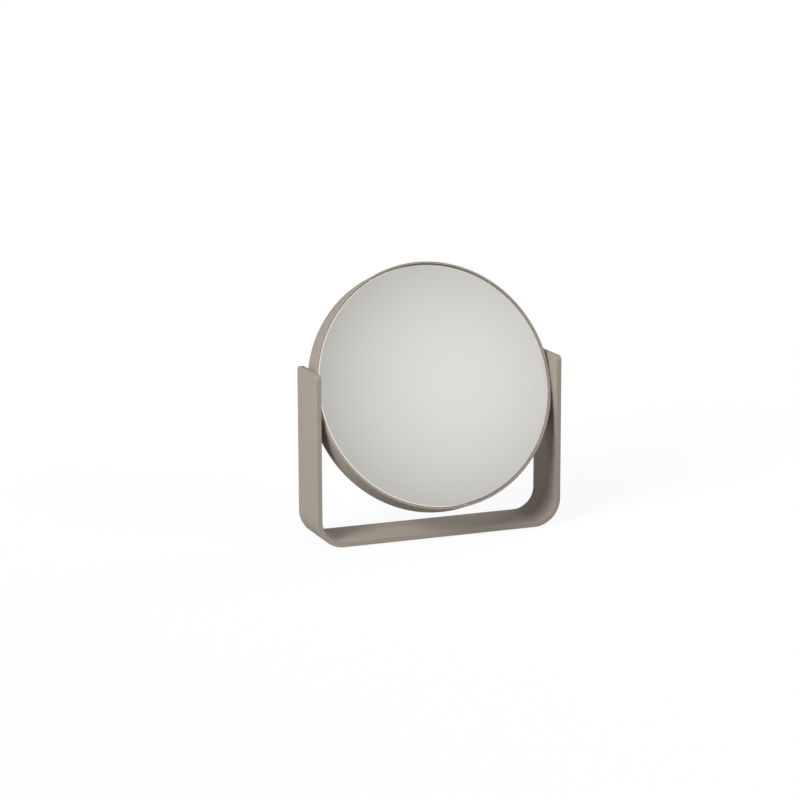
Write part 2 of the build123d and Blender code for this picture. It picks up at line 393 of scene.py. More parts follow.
def steel_finish(name, ring_size):
    """Turned and zinc-plated steel: fine rings about the pivot line, 2 pi ring sizes apart."""
    wave_rate = 20              # radians in a metre of a wave texture whose scale is one
    material, tree, shader, place = start_finish(name)
    centred = put(tree, "ShaderNodeMapping", {"Vector": place, "Location": -pivot})
    rings = put(tree, "ShaderNodeTexWave", {
        "Vector": centred.outputs["Vector"], "Scale": 1.0 / ring_size / wave_rate,
        "Distortion": 0.4, "Detail": 2.0}, wave_type="RINGS", rings_direction="X")
    clouds = use_group(tree, clouding_group(), {
        "Place": place, "Colour": (0.62, 0.62, 0.64, 1.0), "Patch Size": 0.002,
        "Amount": 0.12})
    tree.links.new(clouds.outputs["Colour"], shader.inputs["Base Color"])
    shader.inputs["Metallic"].default_value = 1.0
    tree.links.new(spread(tree, rings.outputs["Fac"], 0.24, 0.36), shader.inputs["Roughness"])
    add_relief(tree, shader, rings.outputs["Fac"], 0.000008)
    return material


def made(name, maker, *values):
    """The finish of that name, made the first time that it is asked for."""
    return bpy.data.materials.get(name) or maker(*values)


# =====================================================================================
# Building meshes
# =====================================================================================
def new_piece(name, mesh):
    """An object at the origin that holds a mesh."""
    piece = bpy.data.objects.new(name, mesh)
    bpy.context.scene.collection.objects.link(piece)
    return piece


def settle(piece):
    """Make what the piece's modifiers give into its own plain mesh, and drop them."""
    bpy.context.view_layer.update()
    seen = piece.evaluated_get(bpy.context.evaluated_depsgraph_get())
    mesh = bpy.data.meshes.new_from_object(seen)
    if not mesh.polygons:
        raise RuntimeError(piece.name + " came out empty")
    piece.modifiers.clear()
    piece.data = mesh
    mesh.name = piece.name


def shade(piece, flat_faces=False):
    """Smooth the rounded stretches and keep the edges. Flat faces may keep their own shade."""
    piece.data.shade_smooth()
    piece.data.set_sharp_from_angle(angle=smooth_angle)
    if flat_faces:
        weighted = piece.modifiers.new("Flat faces", "WEIGHTED_NORMAL")
        weighted.keep_sharp = True
        settle(piece)


def shape_by_nodes(piece, tree, values):
    """Put a shape tree on a piece and set its inputs by their identifiers."""
    modifier = piece.modifiers.new(tree.name, "NODES")
    modifier.node_group = tree
    for socket in tree.interface.items_tree:
        if socket.in_out == "INPUT" and socket.name in values:
            modifier[socket.identifier] = values[socket.name]


def round_edges(piece, width, by_weight=False):
    """Round the edges of a piece: all the sharp ones, or those that its tree has marked."""
    sharp = math.radians(50)
    bevel = piece.modifiers.new("Rounded edges", "BEVEL")
    bevel.width = width
    bevel.segments = 2 * edge_steps if by_weight else edge_steps
    bevel.limit_method = "WEIGHT" if by_weight else "ANGLE"
    bevel.angle_limit = sharp
    bevel.use_clamp_overlap = False


def arc(centre, radius, start, end, steps):
    """Points along an arc, both ends included, as (radius, level)."""
    turns = [start + (end - start) * i / steps for i in range(steps + 1)]
    return [(centre[0] + radius * math.cos(t), centre[1] + radius * math.sin(t)) for t in turns]


def finish_shape(shape, name):
    """Turn the faces of a shape outwards and make it a mesh."""
    bmesh.ops.recalc_face_normals(shape, faces=shape.faces)
    mesh = bpy.data.meshes.new(name)
    shape.to_mesh(mesh)
    shape.free()
    return mesh


def lathe(name, outline, steps, closed=False):
    """Turn an outline of (radius, level) points round Z. A closed one joins its ends."""
    on_axis = 1e-7
    turns = [2 * math.pi * i / steps for i in range(steps)]
    shape = bmesh.new()
    rings = []
    for radius, level in outline:
        if radius < on_axis:
            rings.append([shape.verts.new((0.0, 0.0, level))])
            continue
        rings.append([shape.verts.new((radius * math.cos(t), radius * math.sin(t), level))
                      for t in turns])
    pairs = list(zip(rings, rings[1:]))
    if closed:
        pairs.append((rings[-1], rings[0]))
    for low, high in pairs:
        for i in range(steps):
            j = (i + 1) % steps
            corners = [low[i % len(low)], low[j % len(low)],
                       high[j % len(high)], high[i % len(high)]]
            shape.faces.new(list(dict.fromkeys(corners)))     # on the axis, two corners are one
    return finish_shape(shape, name)


def cut_away(piece, tool):
    """Cut a tool's shape out of a piece, and drop the tool."""
    cut = piece.modifiers.new("Cut", "BOOLEAN")
    cut.operation = "DIFFERENCE"
    cut.solver = "EXACT"
    cut.object = tool
    settle(piece)
    bpy.data.objects.remove(tool)


def drill(piece, radius, start, end, height):
    """Cut a hole along X, centred on the pivot line, in each side of a piece."""
    for side in (-1, 1):
        tool_mesh = lathe("drill", [(0, start), (radius, start), (radius, end), (0, end)],
                          small_round_steps)
        tool_mesh.transform(Matrix.Translation((0, 0, height)) @ Matrix.Rotation(
            side * math.pi / 2, 4, "Y"))
        cut_away(piece, new_piece("drill", tool_mesh))


def place_in_head(piece):
    """Move a finished mesh from the head's own axes to where the head hangs."""
    piece.data.transform(hang)
    piece.data.update()


def carry(piece, body, slot, *nodes):
    """Let a finished piece ride on its body and stand for its nodes; its slot is not used."""
    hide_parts(*nodes)
    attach(piece, body)


def number(value):
    """An input of a shape tree that takes a number."""
    return ("NodeSocketFloat", value)


def count(value):
    """An input of a shape tree that takes a whole number."""
    return ("NodeSocketInt", value)


# =====================================================================================
# Shape trees
# =====================================================================================
def finish_tree(tree, geometry, material, result):
    """End a shape tree: real geometry with its finish."""
    real = put(tree, "GeometryNodeRealizeInstances", {"Geometry": geometry})
    done = put(tree, "GeometryNodeSetMaterial", {
        "Geometry": real.outputs["Geometry"], "Material": material})
    tree.links.new(done.outputs["Geometry"], result.inputs["Geometry"])


def bent_bar_tree():
    """A flat bar that follows a U with rounded bends, its post corners marked for rounding."""
    near_top = 0.00001          # what is this close to the top of a post is at its top
    near_side = 0.49            # and what is out by more of the bar's width than this, at its side
    tree, given, result = new_tree("Bent bar", "GeometryNodeTree", {
        "Width": number(0.19), "Underside": number(0.0008), "Top": number(0.127),
        "Bar Width": number(0.04), "Thickness": number(0.004), "Bend Radius": number(0.02),
        "Bend Steps": count(bend_steps), "Finish": ("NodeSocketMaterial", None),
    }, {"Geometry": "NodeSocketGeometry"})
    half_thickness = maths(tree, "MULTIPLY", given["Thickness"], 0.5)
    half_width = maths(tree, "MULTIPLY_ADD", given["Width"], 0.5, maths(
        tree, "MULTIPLY", half_thickness, -1.0))
    left = maths(tree, "MULTIPLY", half_width, -1.0)
    low = maths(tree, "ADD", given["Underside"], half_thickness)
    corners = {}
    for i, (x, z) in enumerate(((left, given["Top"]), (left, low), (half_width, low),
                                (half_width, given["Top"]))):
        corners["Point %d" % (i + 1)] = put(
            tree, "ShaderNodeCombineXYZ", {"X": x, "Z": z}).outputs[0]
    path = put(tree, "GeometryNodeCurvePrimitiveQuadrilateral", corners, mode="POINTS")
    opened = put(tree, "GeometryNodeSetSplineCyclic", {
        "Geometry": path.outputs[0], "Cyclic": False})
    middle_radius = maths(tree, "SUBTRACT", given["Bend Radius"], half_thickness)
    bent = put(tree, "GeometryNodeFilletCurve", {
        "Curve": opened.outputs[0], "Count": given["Bend Steps"], "Radius": middle_radius},
        mode="POLY")
    steady = put(tree, "GeometryNodeSetCurveNormal", {
        "Curve": bent.outputs[0], "Normal": (0.0, 1.0, 0.0)}, mode="FREE")
    section = put(tree, "GeometryNodeCurvePrimitiveQuadrilateral", {
        "Width": given["Bar Width"], "Height": given["Thickness"]}, mode="RECTANGLE")
    bar = put(tree, "GeometryNodeCurveToMesh", {
        "Curve": steady.outputs[0], "Profile Curve": section.outputs[0], "Fill Caps": True})
    spot = put(tree, "ShaderNodeSeparateXYZ", {
        0: put(tree, "GeometryNodeInputPosition").outputs[0]})
    at_top = maths(tree, "GREATER_THAN", spot.outputs["Z"], maths(
        tree, "SUBTRACT", given["Top"], near_top))
    off_middle = maths(tree, "ABSOLUTE", spot.outputs["Y"])
    at_side = maths(tree, "GREATER_THAN", off_middle, maths(
        tree, "MULTIPLY", given["Bar Width"], near_side))
    marked = put(tree, "GeometryNodeStoreNamedAttribute", {
        "Geometry": bar.outputs[0], "Name": "bevel_weight_edge",
        "Value": maths(tree, "MULTIPLY", at_top, at_side)}, data_type="FLOAT", domain="EDGE")
    finish_tree(tree, marked.outputs[0], given["Finish"], result)
    return tree


def rolled_ring_tree():
    """A strip rolled into a ring, with its own rounding on the outer and the inner edges."""
    tree, given, result = new_tree("Rolled ring", "GeometryNodeTree", {
        "Outer Radius": number(0.09), "Inner Radius": number(0.089), "Low": number(-0.01),
        "High": number(0.01), "Outer Edge": number(0.0005), "Inner Edge": number(0.0002),
        "Round Steps": count(round_steps), "Edge Steps": count(edge_steps),
        "Finish": ("NodeSocketMaterial", None),
    }, {"Geometry": "NodeSocketGeometry"})
    wall = maths(tree, "SUBTRACT", given["Outer Radius"], given["Inner Radius"])
    middle = maths(tree, "MULTIPLY", maths(
        tree, "ADD", given["Outer Radius"], given["Inner Radius"]), 0.5)
    path = put(tree, "GeometryNodeCurvePrimitiveCircle", {
        "Resolution": given["Round Steps"], "Radius": middle}, mode="RADIUS")
    level = put(tree, "GeometryNodeSetCurveNormal", {"Curve": path.outputs[0]}, mode="Z_UP")
    section = put(tree, "GeometryNodeCurvePrimitiveQuadrilateral", {
        "Width": wall, "Height": maths(tree, "SUBTRACT", given["High"], given["Low"])},
        mode="RECTANGLE")
    across = put(tree, "ShaderNodeSeparateXYZ", {
        0: put(tree, "GeometryNodeInputPosition").outputs[0]})
    outside = maths(tree, "GREATER_THAN", across.outputs["X"], 0.0)
    edge = put(tree, "GeometryNodeSwitch", {
        "Switch": outside, "False": given["Inner Edge"], "True": given["Outer Edge"]},
        input_type="FLOAT")
    rounded = put(tree, "GeometryNodeFilletCurve", {
        "Curve": section.outputs[0], "Count": given["Edge Steps"], "Radius": edge.outputs[0]},
        mode="POLY")
    ring = put(tree, "GeometryNodeCurveToMesh", {
        "Curve": level.outputs[0], "Profile Curve": rounded.outputs[0]})
    lift = maths(tree, "MULTIPLY", maths(tree, "ADD", given["High"], given["Low"]), 0.5)
    moved = put(tree, "GeometryNodeSetPosition", {
        "Geometry": ring.outputs[0],
        "Offset": put(tree, "ShaderNodeCombineXYZ", {"Z": lift}).outputs[0]})
    finish_tree(tree, moved.outputs[0], given["Finish"], result)
    return tree


def four_places_tree():
    """The same piece at the four corners of a rectangle."""
    tree, given, result = new_tree("Four places", "GeometryNodeTree", {
        "Geometry": ("NodeSocketGeometry", None), "Across": number(0.17),
        "Along": number(0.013), "Finish": ("NodeSocketMaterial", None),
    }, {"Geometry": "NodeSocketGeometry"})
    corners = put(tree, "GeometryNodeMeshGrid", {
        "Size X": given["Across"], "Size Y": given["Along"], "Vertices X": 2, "Vertices Y": 2})
    copies = put(tree, "GeometryNodeInstanceOnPoints", {
        "Points": corners.outputs["Mesh"], "Instance": given["Geometry"]})
    finish_tree(tree, copies.outputs["Instances"], given["Finish"], result)
    return tree


# =====================================================================================
# Operators
# =====================================================================================
class MIRROR_OT_stand_bar(bpy.types.Operator):
    """Bend the flat bar into the stand and cut the blind holes for the pivot screws"""

    bl_idname = "table_mirror.stand_bar"
    bl_label = "Stand Bar"
    bl_options = {"REGISTER", "UNDO"}

    def execute(self, context):
        sizes = context.scene.mirror_stand
        bar = new_piece("stand_bar", bpy.data.meshes.new("stand_bar"))
        shape_by_nodes(bar, bent_bar_tree(), {
            "Width": sizes.width, "Underside": stand_low.z, "Top": stand_high.z,
            "Bar Width": sizes.bar_width, "Thickness": sizes.bar_thickness,
            "Bend Radius": sizes.bend_radius, "Bend Steps": bend_steps,
            "Finish": made("soft_touch_coat", coat_finish, sizes.coat_colour)})
        round_edges(bar, sizes.post_corner, by_weight=True)
        round_edges(bar, sizes.bar_edge)
        settle(bar)
        end_gap = 0.0002        # left past the end of the screw
        drill(bar, sizes.hole_radius, post_face - drill_start, screw_reach + end_gap, pivot.z)
        shade(bar, flat_faces=True)
        carry(bar, "stand", "coated_steel", "stand_band")
        return {"FINISHED"}


class MIRROR_OT_base_pad(bpy.types.Operator):
    """Make the anti-slip pad under the base"""

    bl_idname = "table_mirror.base_pad"
    bl_label = "Base Pad"
    bl_options = {"REGISTER", "UNDO"}

    def execute(self, context):
        sizes = context.scene.mirror_stand
        shape = bmesh.new()
        half_x, half_y = pad_high.x - sizes.pad_corner, pad_high.y - sizes.pad_corner
        quarter = math.pi / 2
        rounding = [quarter * i / edge_steps for i in range(edge_steps + 1)]
        levels = [(sizes.pad_edge * (1 - math.sin(t)),
                   pad_low.z + sizes.pad_edge * (1 - math.cos(t))) for t in rounding]
        rings = []
        for inset, level in levels + [(0.0, pad_high.z)]:
            outline = []
            for x, y, start in ((half_x, half_y, 0), (-half_x, half_y, 1),
                                (-half_x, -half_y, 2), (half_x, -half_y, 3)):
                outline += arc((x, y), sizes.pad_corner - inset, start * quarter,
                               (start + 1) * quarter, 2 * edge_steps)
            rings.append([shape.verts.new((x, y, level)) for x, y in outline])
        for low, high in zip(rings, rings[1:]):
            for i in range(len(low)):
                j = (i + 1) % len(low)
                shape.faces.new((low[i], low[j], high[j], high[i]))
        shape.faces.new(rings[0])
        shape.faces.new(rings[-1])
        mesh = finish_shape(shape, "anti_slip_pad")
        mesh.materials.append(made("pad_rubber", rubber_finish, sizes.pad_colour))
        pad = new_piece("anti_slip_pad", mesh)
        shade(pad, flat_faces=True)
        carry(pad, "stand", "pad_rubber", "base_pad")
        return {"FINISHED"}


class MIRROR_OT_hoop(bpy.types.Operator):
    """Roll the hoop and drill it for the pivot bushes"""

    bl_idname = "table_mirror.hoop"
    bl_label = "Hoop"
    bl_options = {"REGISTER", "UNDO"}

    def execute(self, context):
        sizes = context.scene.mirror_head
        coat = context.scene.mirror_stand.coat_colour
        outer, inner, low, high = turned_size("mirror_hoop")
        hoop = new_piece("coated_hoop", bpy.data.meshes.new("coated_hoop"))
        shape_by_nodes(hoop, rolled_ring_tree(), {
            "Outer Radius": outer, "Inner Radius": inner, "Low": low, "High": high,
            "Outer Edge": sizes.hoop_outer_edge, "Inner Edge": sizes.hoop_inner_edge,
            "Round Steps": round_steps, "Edge Steps": edge_steps,
            "Finish": made("soft_touch_coat", coat_finish, coat)})
        settle(hoop)
        drill(hoop, sizes.bush_hole, inner - drill_start, outer + drill_start, 0.0)
        shade(hoop, flat_faces=True)
        place_in_head(hoop)
        carry(hoop, "mirror_head", "coated_steel", "mirror_hoop")
        return {"FINISHED"}


def finish_glass(mesh, face_side, silver):
    """Silver the face and its bevel, grind the edge and paint the back."""
    silvered, ground, painted = range(3)
    steep = 0.8                 # a face is silvered or painted if it looks straighter out than this
    for finish in (made("silvered_glass", silver_finish, silver),
                   made("ground_glass_edge", ground_edge_finish),
                   made("mirror_backing_paint", backing_finish)):
        mesh.materials.append(finish)
    for face in mesh.polygons:
        towards = face.normal.z * face_side
        face.material_index = ground
        if abs(towards) > steep:
            face.material_index = silvered if towards > 0 else painted


def bowl_centre(radius, rim, edge):
    """Level of the centre of a hollow face that meets a rim of some radius at the edge's level."""
    return edge - math.sqrt(radius ** 2 - rim ** 2)


class MIRROR_OT_flat_mirror(bpy.types.Operator):
    """Make the flat mirror with its polished bevel"""

    bl_idname = "table_mirror.flat_mirror"
    bl_label = "Flat Mirror"
    bl_options = {"REGISTER", "UNDO"}

    def execute(self, context):
        sizes = context.scene.mirror_head
        outer, _, back, face = turned_size("plain_mirror_glass")
        mesh = lathe("flat_mirror", [
            (0.0, back), (outer - sizes.glass_arris, back), (outer, back + sizes.glass_arris),
            (outer, face - sizes.bevel_depth), (outer - sizes.bevel_width, face), (0.0, face)],
            round_steps)
        finish_glass(mesh, 1, sizes.silver_colour)
        glass = new_piece("flat_mirror", mesh)
        shade(glass)
        glass.data.set_sharp_from_angle(angle=bevel_line_angle)
        place_in_head(glass)
        carry(glass, "mirror_head", "plain_mirror", "plain_mirror_glass")
        return {"FINISHED"}


class MIRROR_OT_magnifying_mirror(bpy.types.Operator):
    """Make the hollow mirror on the back of the hoop"""

    bl_idname = "table_mirror.magnifying_mirror"
    bl_label = "Magnifying Mirror"
    bl_options = {"REGISTER", "UNDO"}

    def execute(self, context):
        sizes = context.scene.mirror_head
        outer, _, edge, _ = turned_size("magnifying_mirror_glass")
        arris = sizes.glass_arris
        face = sizes.hollow_radius
        centre = bowl_centre(face, outer, edge)
        back = face + sizes.hollow_thickness

        def bowl(radius, rim):
            """Points of a bowl's outline from the axis to its rim."""
            widest = math.asin(rim / radius)
            return [(radius * math.sin(widest * i / dish_steps),
                     centre + radius * math.cos(widest * i / dish_steps))
                    for i in range(dish_steps + 1)]

        hollow = bowl(face, outer - arris)
        backing = bowl(back, outer - arris)
        outline = hollow + [(outer, hollow[-1][1] + arris), (outer, backing[-1][1] - arris)]
        mesh = lathe("hollow_mirror", outline + backing[::-1], round_steps)
        finish_glass(mesh, -1, sizes.silver_colour)
        glass = new_piece("hollow_mirror", mesh)
        shade(glass)
        place_in_head(glass)
        carry(glass, "mirror_head", "magnifying_mirror", "magnifying_mirror_glass")
        return {"FINISHED"}


class MIRROR_OT_foam(bpy.types.Operator):
    """Lay the foam tapes and the foam pad behind the two mirrors"""

    bl_idname = "table_mirror.foam"
    bl_label = "Foam Tapes and Pad"
    bl_options = {"REGISTER", "UNDO"}

    def execute(self, context):
        sizes = context.scene.mirror_head
        foam = made("closed_cell_foam", foam_finish, sizes.foam_colour)
        bulge = 0.0002              # the sides of pressed foam swell a little
        tape_thickness = 0.0008     # of the tape behind the hollow mirror

        outer, inner, low, high = turned_size("plain_mirror_tape")
        tape = new_piece("flat_mirror_tape", bpy.data.meshes.new("flat_mirror_tape"))
        shape_by_nodes(tape, rolled_ring_tree(), {
            "Outer Radius": outer, "Inner Radius": inner, "Low": low, "High": high,
            "Outer Edge": bulge, "Inner Edge": bulge, "Round Steps": round_steps // 2,
            "Edge Steps": edge_steps, "Finish": foam})
        settle(tape)

        outer, _, low, high = turned_size("plain_mirror_pad")
        side = arc((outer - bulge, low + bulge), bulge, -math.pi / 2, 0, edge_steps)
        side += arc((outer - bulge, high - bulge), bulge, 0, math.pi / 2, edge_steps)
        mesh = lathe("flat_mirror_pad", [(0.0, low)] + side + [(0.0, high)], round_steps // 2)
        mesh.materials.append(foam)
        pad = new_piece("flat_mirror_pad", mesh)

        outer, inner = turned_size("magnifying_mirror_tape")[:2]
        rim, _, edge, _ = turned_size("magnifying_mirror_glass")
        centre = bowl_centre(sizes.hollow_radius, rim, edge)
        under = sizes.hollow_radius + sizes.hollow_thickness
        strip = []
        for radius, ends in ((under, (inner, outer)), (under + tape_thickness, (outer, inner))):
            strip += [(r, centre + math.sqrt(radius ** 2 - r ** 2)) for r in ends]
        mesh = lathe("hollow_mirror_tape", strip, round_steps // 2, closed=True)
        mesh.materials.append(foam)
        dish_tape = new_piece("hollow_mirror_tape", mesh)

        for piece, node in ((tape, "plain_mirror_tape"), (pad, "plain_mirror_pad"),
                            (dish_tape, "magnifying_mirror_tape")):
            shade(piece)
            place_in_head(piece)
            carry(piece, "mirror_head", "foam_tape", node)
        return {"FINISHED"}


class MIRROR_OT_core_screws(bpy.types.Operator):
    """Set the four countersunk screws that hold the core to the pivot blocks"""

    bl_idname = "table_mirror.core_screws"
    bl_label = "Core Screws"
    bl_options = {"REGISTER", "UNDO"}

    def execute(self, context):
        low, high = turned_size("core_screws")[2:]
        head, head_height, head_edge = 0.0023, 0.0012, 0.00015      # radius, height and rim
        shank, point = 0.00125, 0.0004                              # radius and chamfered end
        socket, socket_depth = 0.0015, 0.0009                       # across the flats, and depth
        plated = made("plated_steel", steel_finish, "plated_steel", 0.0002)
        mesh = lathe("core_fixings", [
            (0.0, low), (shank - point, low), (shank, low + point), (shank, high - head_height),
            (head, high - head_edge), (head, high), (0.0, high)], small_round_steps)
        mesh.materials.append(plated)
        screws = new_piece("core_fixings", mesh)
        corner, floor, top = socket / math.sqrt(3), high - socket_depth, high + socket_depth
        key_mesh = lathe("key", [(0, floor), (corner, floor), (corner, top), (0, top)], 6)
        key_mesh.materials.append(plated)
        cut_away(screws, new_piece("key", key_mesh))
        to_head = hang.inverted()
        spots = [to_head @ v.co for v in frame["nodes"]["core_screws"].data.vertices]
        across = max(p.x for p in spots) - head
        along = max(p.y for p in spots) - head
        shape_by_nodes(screws, four_places_tree(), {
            "Across": 2 * across, "Along": 2 * along, "Finish": plated})
        settle(screws)
        shade(screws)
        place_in_head(screws)
        carry(screws, "mirror_head", "bright_steel", "core_screws")
        return {"FINISHED"}


class MIRROR_OT_inner_parts(bpy.types.Operator):
    """Give the core, the pivot blocks and the pivot hardware their finishes"""

    bl_idname = "table_mirror.inner_parts"
    bl_label = "Core and Pivots"
    bl_options = {"REGISTER", "UNDO"}

    def execute(self, context):
        moulded = made("moulded_plastic", moulded_finish)
        nylon = made("natural_nylon", nylon_finish)
        turned = made("turned_steel", steel_finish, "turned_steel", 0.0003)
        finishes = {"hoop_core": moulded}
        for side in ("left", "right"):
            finishes["pivot_block_" + side] = moulded
            for part in ("pivot_bush_", "spacer_washer_"):
                finishes[part + side] = nylon
            for part in ("pivot_screw_", "disc_spring_", "thrust_washer_"):
                finishes[part + side] = turned
        for node, finish in finishes.items():
            for slot in frame["nodes"][node].material_slots:
                slot.material = finish
        return {"FINISHED"}


class MIRROR_OT_studio(bpy.types.Operator):
    """Lay the pale floor, set the lamps and the camera, and hang the cards that mirrors show"""

    bl_idname = "table_mirror.studio"
    bl_label = "Studio"
    bl_options = {"REGISTER", "UNDO"}

    def execute(self, context):
        light_the_room(context)
        lay_floor(context)
        hang_glow_card()
        hang_bevel_glow_band()
        hang_post_reflection_glow()
        set_camera(context)
        context.scene.view_settings.view_transform = "Standard"
        return {"FINISHED"}


# =====================================================================================
# Studio
# =====================================================================================
lamp_distance = 1.6
lamp_width = 0.75
wall_shade = 0.15           # how much less than white a mirror shows of the walls and the floor
ceiling_shade = 0.25        # and how much less again straight overhead
white = (1.0, 1.0, 1.0, 1.0)


def lamps(settings):
    """The three large soft lamps: name, direction from the pivot line, and power."""
    return (("key_lamp", Vector((-0.757, -0.455, 0.469)), settings.key_power),
            ("front_lamp", Vector((0.557, -0.663, 0.500)), settings.front_power),
            ("back_lamp", Vector((0.720, 0.262, 0.643)), settings.back_power))


def camera_matrix():
    """Where the photograph was taken from: a heading, a slight look down, and a small roll."""
    heading, look_down, roll = math.radians(-21.270), math.radians(12.232), math.radians(-0.207)
    aim = Vector((0.0, 0.0, 0.1008))
    distance, shift_right, shift_up = 1.92402, 0.02212, 0.00217
    turn = (Matrix.Rotation(heading, 4, "Z")
            @ Matrix.Rotation(math.pi / 2 - look_down, 4, "X") @ Matrix.Rotation(roll, 4, "Z"))
    return Matrix.Translation(aim) @ turn @ Matrix.Translation((-shift_right, -shift_up, distance))


def set_camera(context):
    """The camera at the photograph's viewing angle."""
    lens = bpy.data.cameras.new("camera")
    lens.lens = context.scene.mirror_studio.camera_lens
    lens.sensor_width = 36.0
    camera = bpy.data.objects.new("camera", lens)
    camera.matrix_world = camera_matrix()
    context.scene.collection.objects.link(camera)
    context.scene.camera = camera


def seen_by_eye(tree):
    """One for what the camera, a mirror or clear glass shows, and zero for scattered light."""
    path = put(tree, "ShaderNodeLightPath").outputs
    eye = maths(tree, "MAXIMUM", path["Is Camera Ray"], path["Is Glossy Ray"])
    return maths(tree, "MAXIMUM", eye, path["Is Transmission Ray"])


def light_the_room(context):
    """A large soft lamp at the left, two weaker ones at the right, and light from all round."""
    settings = context.scene.mirror_studio
    for name, towards, watts in lamps(settings):
        lamp = bpy.data.lights.new(name, "AREA")
        lamp.shape = "DISK"
        lamp.size = lamp_width
        lamp.energy = watts
        holder = bpy.data.objects.new(name, lamp)
        holder.location = pivot + towards * lamp_distance
        holder.rotation_euler = (-towards).to_track_quat("-Z", "Y").to_euler()
        holder.visible_glossy = False       # the mirrors show the room, and no lamp in it
        context.scene.collection.objects.link(holder)

    world = bpy.data.worlds.new("white_room")
    world.use_nodes = True
    tree = world.node_tree
    tree.nodes.clear()
    dim = put(tree, "ShaderNodeBackground", {
        "Color": white, "Strength": settings.ambient})
    upward = put(tree, "ShaderNodeSeparateXYZ", {
        0: tree.nodes.new("ShaderNodeTexCoord").outputs["Generated"]}).outputs["Z"]
    glossy = put(tree, "ShaderNodeLightPath").outputs["Is Glossy Ray"]
    shade_seen = maths(tree, "MULTIPLY_ADD", maths(tree, "MAXIMUM", upward, 0.0),
                       ceiling_shade, wall_shade)
    shown = put(tree, "ShaderNodeBackground", {
        "Color": white,
        "Strength": maths(tree, "SUBTRACT", 1.0, maths(tree, "MULTIPLY", shade_seen, glossy))})
    both = put(tree, "ShaderNodeMixShader", {
        0: seen_by_eye(tree), 1: dim.outputs[0], 2: shown.outputs[0]})
    put(tree, "ShaderNodeOutputWorld", {"Surface": both.outputs[0]})
    context.scene.world = world


def light_on_floor(tree, place, towards, watts):
    """How brightly a lamp lights the floor at a place, on a scale where white paint shows one."""
    lamp = pivot + towards * lamp_distance
    ray = put(tree, "ShaderNodeVectorMath", {0: place, 1: lamp}, operation="SUBTRACT").outputs[0]
    ahead = put(tree, "ShaderNodeVectorMath", {0: ray, 1: -towards}, operation="DOT_PRODUCT")
    squared = put(tree, "ShaderNodeVectorMath", {0: ray, 1: ray}, operation="DOT_PRODUCT")
    fourth = maths(tree, "POWER", squared.outputs["Value"], 2.0)
    share = maths(tree, "DIVIDE", maths(tree, "MAXIMUM", ahead.outputs["Value"], 0.0), fourth)
    return maths(tree, "MULTIPLY", share, watts * lamp.z / math.pi ** 2)


def lay_floor(context):
    """A pale floor that shows white where it is lit, with the mirror's own faint shadow left."""
    settings = context.scene.mirror_studio
    half, drop = 20.0, 0.0001   # half the floor's width, and how far it lies under the pad
    shadow_share = 0.30         # how much of a real shadow the floor shows
    mesh = bpy.data.meshes.new("floor")
    mesh.from_pydata([(-half, -half, 0), (half, -half, 0), (half, half, 0), (-half, half, 0)],
                     [], [(0, 1, 2, 3)])
    floor = new_piece("floor", mesh)
    floor.location.z = -drop
    tree, place = empty_material(mesh, "pale_floor")
    lit = put(tree, "ShaderNodeBsdfDiffuse", {"Color": (*settings.floor_colour, 1.0)})
    light = settings.ambient
    for _, towards, watts in lamps(settings):
        light = maths(tree, "ADD", light_on_floor(tree, place, towards, watts), light)
    shown = shadow_share * settings.floor_colour[1]
    glossy = put(tree, "ShaderNodeLightPath").outputs["Is Glossy Ray"]
    full = maths(tree, "MULTIPLY_ADD", glossy, -wall_shade, 1.0)
    missing = maths(tree, "MULTIPLY_ADD", light, -shown, full)
    glow = put(tree, "ShaderNodeEmission", {
        "Color": white, "Strength": maths(tree, "DIVIDE", missing, 1.0 - shadow_share)})
    share = maths(tree, "MULTIPLY", seen_by_eye(tree), 1.0 - shadow_share)
    both = put(tree, "ShaderNodeMixShader", {0: share, 1: lit.outputs[0], 2: glow.outputs[0]})
    put(tree, "ShaderNodeOutputMaterial", {"Surface": both.outputs[0]})


def empty_material(mesh, name):
    """Give a mesh a material without nodes. Returns its tree and the place on the object."""
    material = bpy.data.materials.new(name)
    material.use_nodes = True
    tree = material.node_tree
    tree.nodes.clear()
    mesh.materials.append(material)
    return tree, tree.nodes.new("ShaderNodeTexCoord").outputs["Object"]


def end_card(tree, tone, strength, cover):
    """Let a card glow in its tone where it covers, and be clear elsewhere."""
    if not isinstance(tone, bpy.types.NodeSocket):
        tone = (*tone, 1.0)
    light = put(tree, "ShaderNodeEmission", {"Color": tone, "Strength": strength})
    clear = put(tree, "ShaderNodeBsdfTransparent")
    both = put(tree, "ShaderNodeMixShader", {0: cover, 1: clear.outputs[0], 2: light.outputs[0]})
    put(tree, "ShaderNodeOutputMaterial", {"Surface": both.outputs[0]})


def only_in_reflections(card):
    """A studio card that gloss and mirrors show, and that neither lights nor shades anything."""
    card.visible_camera = False
    card.visible_diffuse = False
    card.visible_shadow = False
    card.visible_transmission = False
    card.visible_volume_scatter = False


